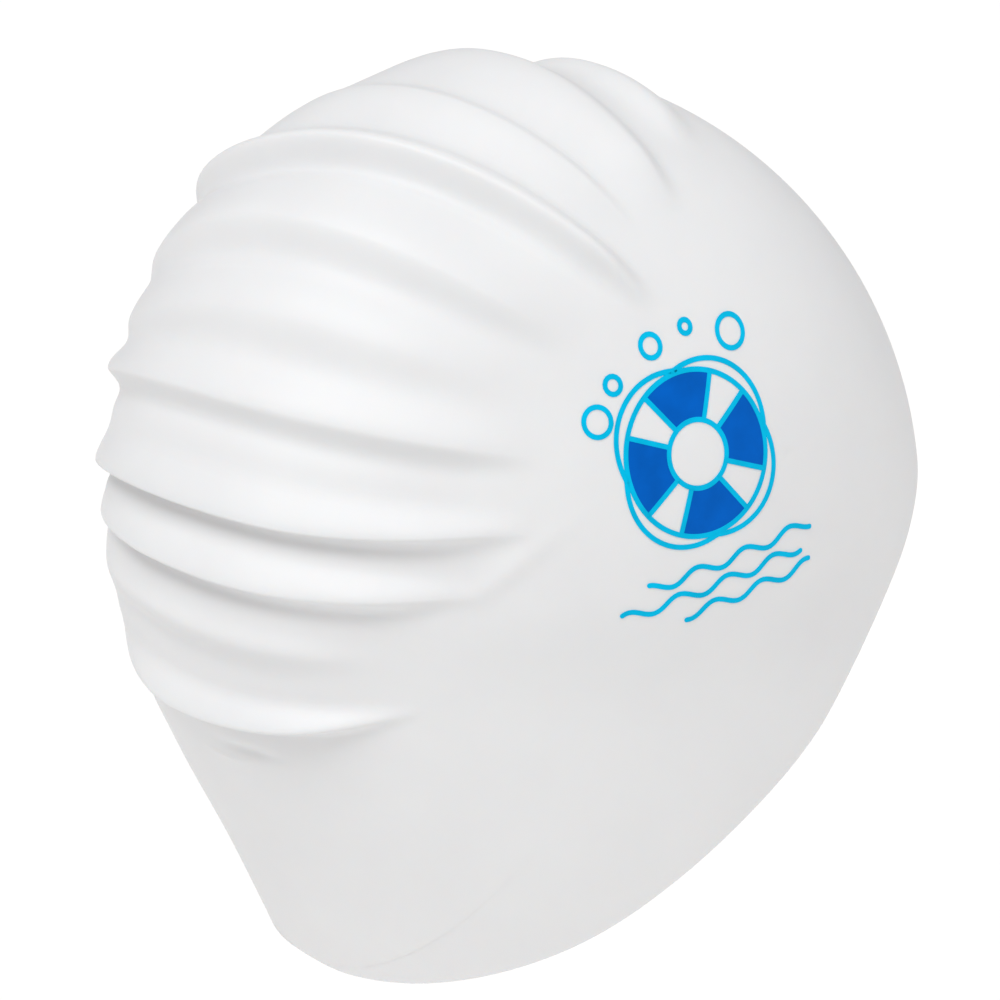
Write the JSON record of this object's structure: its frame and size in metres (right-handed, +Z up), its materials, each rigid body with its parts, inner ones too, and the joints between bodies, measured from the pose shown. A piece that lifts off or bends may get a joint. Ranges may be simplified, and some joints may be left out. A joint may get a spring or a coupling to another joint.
{
  "type": "silicone swim cap",
  "caption": "Moulded silicone swim cap in its worn form, with soft folds over the crown and back and a small swim ring and waves printed on one side.",
  "frame": {"origin": "the point inside the crown that the top of the wearer's head comes to", "axes": "+Z up, +Y towards the back of the head, -Y towards the forehead, -X towards the wearer's right, where the print is"},
  "size_m": [0.1538, 0.2031, 0.2158],
  "materials": {
    "silicone": "matt white silicone with a soft sheen",
    "line_ink": "bright cyan print, semi-matt",
    "fill_ink": "deep blue print, semi-matt"
  },
  "bodies": {
    "root": {"cap_shell": "silicone"}
  },
  "joints": []
}
